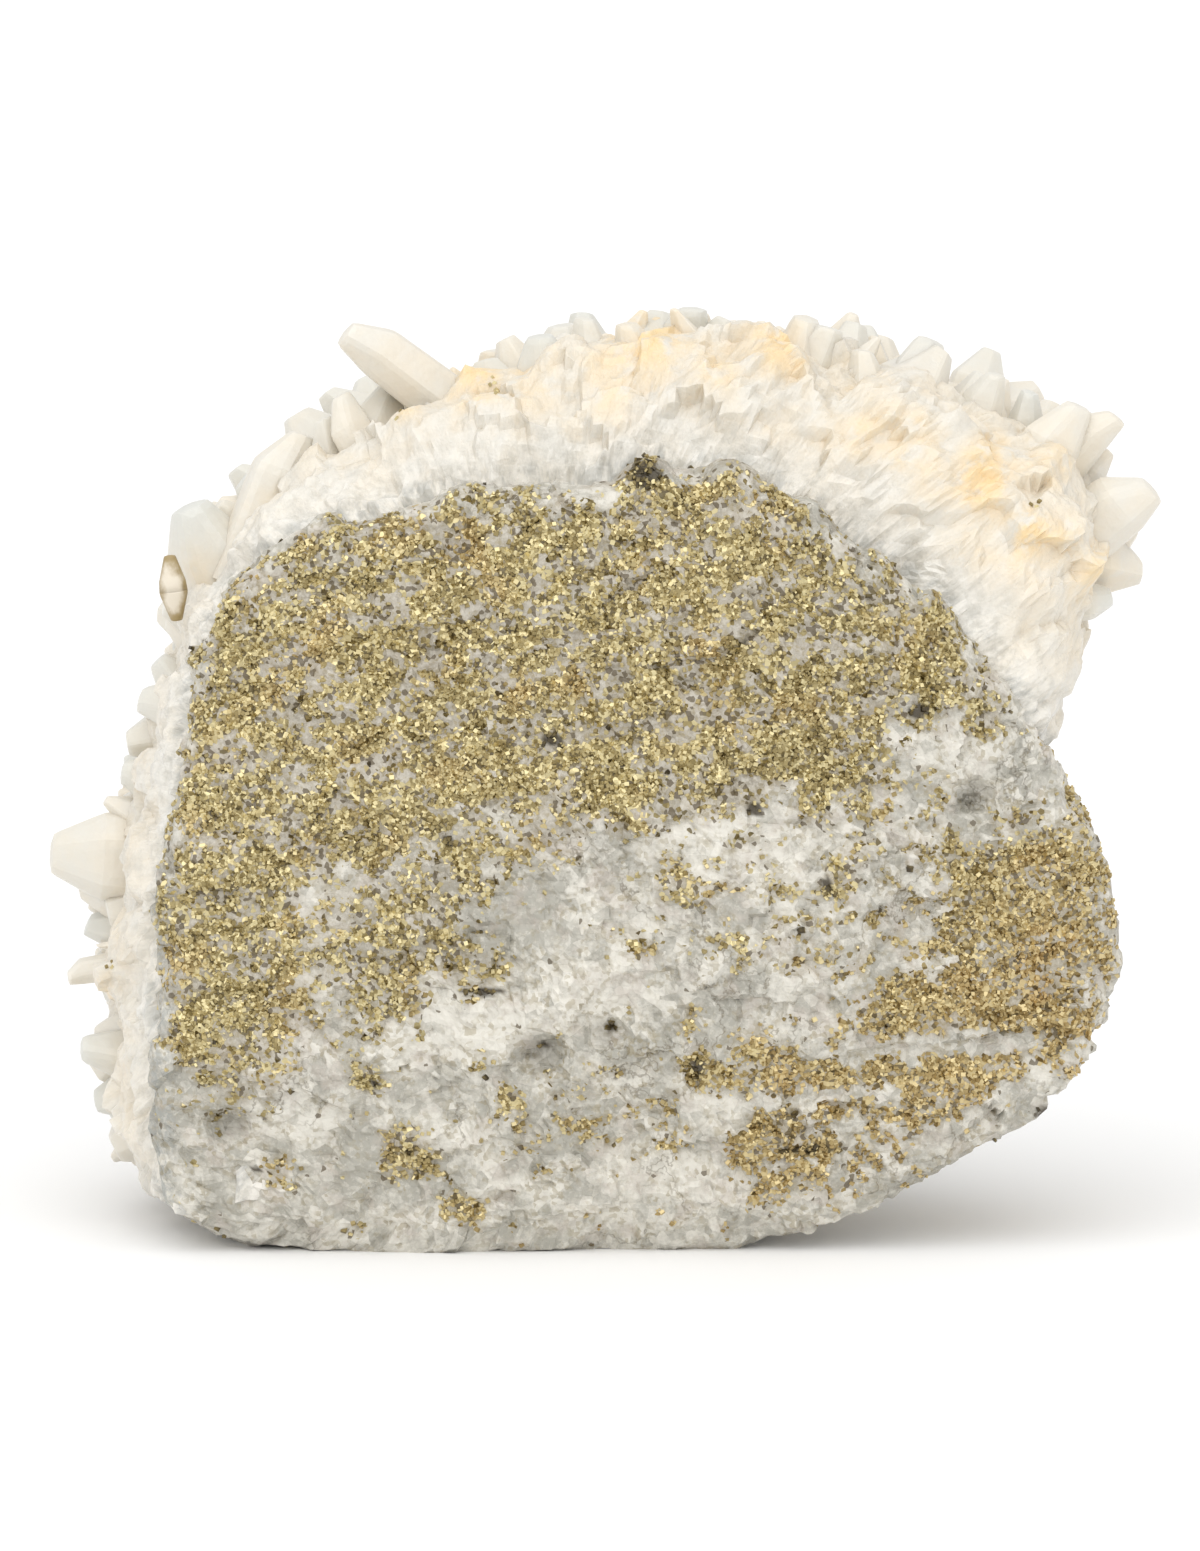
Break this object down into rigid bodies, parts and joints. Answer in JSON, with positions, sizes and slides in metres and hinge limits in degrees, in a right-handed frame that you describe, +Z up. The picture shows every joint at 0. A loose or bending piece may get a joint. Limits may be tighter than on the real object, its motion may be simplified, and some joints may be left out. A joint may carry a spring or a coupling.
{
  "type": "pyrite specimen",
  "caption": "Broken block of fine-grained pyrite in massive quartz, rimmed on its left, top and upper right by a crust of milky quartz points.",
  "frame": {"origin": "under the middle of the specimen, on the flat it stands on", "axes": "+X to the viewer's right across the broken face, along the longest side; +Y from the broken face to the back; +Z up"},
  "size_m": [0.1001, 0.0526, 0.0856],
  "materials": {
    "pyrite_ore": "rough broken rock full of small brassy metallic grains",
    "milky_quartz": "cloudy white, half clear, with glossy crystal faces"
  },
  "bodies": {
    "root": {"pyrite_ore_mass": "pyrite_ore", "quartz_crust": "milky_quartz"}
  },
  "joints": []
}
